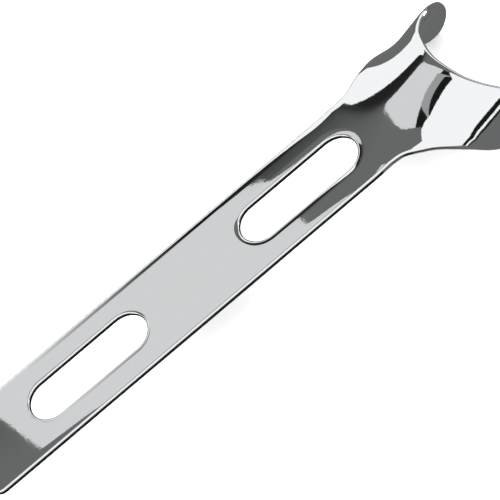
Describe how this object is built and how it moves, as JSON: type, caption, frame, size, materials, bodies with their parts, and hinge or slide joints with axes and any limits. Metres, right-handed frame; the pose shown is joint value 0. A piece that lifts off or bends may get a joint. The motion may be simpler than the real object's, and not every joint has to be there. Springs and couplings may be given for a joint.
{
  "type": "hand-held retractor",
  "caption": "Flat polished steel bar with rounded edges and two long slots, flaring at one end into a saddle-shaped blade with drooping wings.",
  "frame": {"origin": "on the flat back face of the bar, midway between the two slots", "axes": "+X along the bar towards the saddle, +Y across the bar, +Z out of the front face"},
  "size_m": [0.1539, 0.044, 0.0208],
  "materials": {
    "polished_stainless": "mirror-polished stainless steel"
  },
  "bodies": {
    "root": {"retractor": "polished_stainless"}
  },
  "joints": []
}
